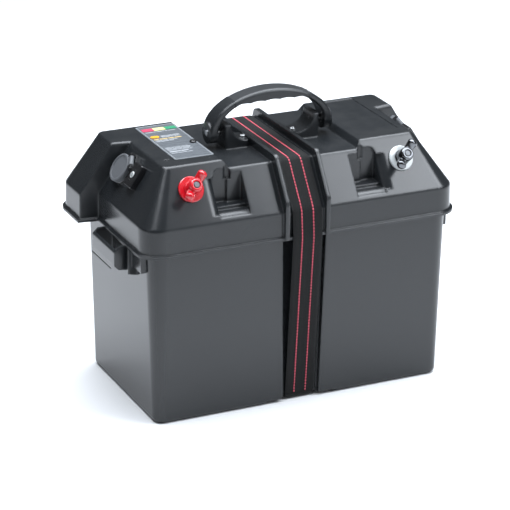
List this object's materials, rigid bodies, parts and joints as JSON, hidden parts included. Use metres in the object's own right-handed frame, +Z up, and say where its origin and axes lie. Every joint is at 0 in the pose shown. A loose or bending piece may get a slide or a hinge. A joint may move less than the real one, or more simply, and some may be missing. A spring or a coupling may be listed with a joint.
{
  "type": "battery box",
  "caption": "Portable battery box: deep tub, strapped lid with carrying handle, charge meter, 12 V sockets with caps, reset breakers and outside terminals.",
  "frame": {"origin": "middle of the tub's underside, on the plane it stands on", "axes": "+X along the length to the right-hand end, +Y to the back (buckle side), +Z up"},
  "size_m": [0.46, 0.2437, 0.366],
  "materials": {
    "black_moulding": "satin charcoal black moulding",
    "webbing": "black webbing with two red stitched lines",
    "buckle_plastic": "matte black",
    "bright_steel": "bright plated",
    "red_plastic": "glossy red",
    "white_plastic": "glossy white",
    "brass_contact": "plain",
    "black_fittings": "glossy black",
    "grey_panel": "satin grey overlay",
    "red_window": "clear red",
    "yellow_window": "clear yellow",
    "green_window": "clear green",
    "amber_lamp": "clear amber",
    "circuit_board": "solder mask",
    "soft_grip": "soft matte rubber",
    "black_chrome": "black plated",
    "grey_cap": "dark grey"
  },
  "bodies": {
    "tub": {"tub": "black_moulding", "strap_lower": "webbing", "buckle_frame": "buckle_plastic", "buckle_pin": "bright_steel"},
    "buckle_lever": {"buckle_lever": "buckle_plastic"},
    "lid": {"lid": "black_moulding", "strap_upper": "webbing", "boss_screws": "bright_steel", "stud_positive": "bright_steel", "pad_positive": "red_plastic", "stud_negative": "bright_steel", "pad_negative": "white_plastic", "terminal_washers": "bright_steel", "terminal_nuts": "bright_steel", "terminal_lugs": "brass_contact", "socket_left": "black_fittings", "socket_right": "black_fittings", "socket_contacts": "brass_contact", "socket_rings": "black_fittings", "cap_pins": "bright_steel", "breaker_left": "black_fittings", "breaker_right": "black_fittings", "meter_panel": "grey_panel", "window_red": "red_window", "window_yellow": "yellow_window", "window_green": "green_window", "lamp_amber": "amber_lamp", "test_spring": "bright_steel", "meter_board": "circuit_board"},
    "handle": {"handle_core": "black_moulding", "handle_grip": "soft_grip", "handle_pins": "bright_steel"},
    "wing_nut_red": {"wing_nut_red": "red_plastic"},
    "wing_nut_black": {"wing_nut_black": "black_chrome"},
    "socket_cap_left": {"socket_cap_left": "grey_cap"},
    "socket_cap_right": {"socket_cap_right": "grey_cap"},
    "reset_button_left": {"reset_button_left": "white_plastic"},
    "reset_button_right": {"reset_button_right": "white_plastic"},
    "test_button": {"test_button": "black_fittings"}
  },
  "joints": [
    {"name": "lid_lift", "type": "slide", "parent": "tub", "child": "lid", "axis": [0, 0, 1], "range_m": [0, 0.26]},
    {"name": "handle_fold", "type": "hinge", "parent": "lid", "child": "handle", "pos_m": [0, 0, 0.318], "axis": [1, 0, 0], "range_deg": [-75, 75]},
    {"name": "buckle_lever_open", "type": "hinge", "parent": "tub", "child": "buckle_lever", "pos_m": [0, 0.1215, 0.13], "axis": [1, 0, 0], "range_deg": [0, 95]},
    {"name": "wing_nut_red_turn", "type": "hinge", "parent": "lid", "child": "wing_nut_red", "pos_m": [-0.137, -0.09101, 0.28811], "axis": [0, -0.8236, 0.5671], "continuous": true},
    {"name": "wing_nut_black_turn", "type": "hinge", "parent": "lid", "child": "wing_nut_black", "pos_m": [0.137, -0.09101, 0.28811], "axis": [0, -0.8236, 0.5671], "continuous": true},
    {"name": "socket_cap_left_open", "type": "hinge", "parent": "lid", "child": "socket_cap_left", "pos_m": [-0.17807, -0.0045, 0.29815], "axis": [0.3877, 0.7071, 0.5913], "range_deg": [0, 110]},
    {"name": "reset_left_pop", "type": "slide", "parent": "lid", "child": "reset_button_left", "axis": [-0.8362, 0, 0.5484], "range_m": [0, 0.005]},
    {"name": "socket_cap_right_open", "type": "hinge", "parent": "lid", "child": "socket_cap_right", "pos_m": [0.17807, -0.0045, 0.29815], "axis": [0.3877, -0.7071, -0.5913], "range_deg": [0, 110]},
    {"name": "reset_right_pop", "type": "slide", "parent": "lid", "child": "reset_button_right", "axis": [0.8362, 0, 0.5484], "range_m": [0, 0.005]},
    {"name": "test_press", "type": "slide", "parent": "lid", "child": "test_button", "axis": [0, 0, -1], "range_m": [0, 0.0015], "stiffness_N_per_m": 300, "springref_m": -0.0005, "deforming": ["test_spring"]}
  ]
}
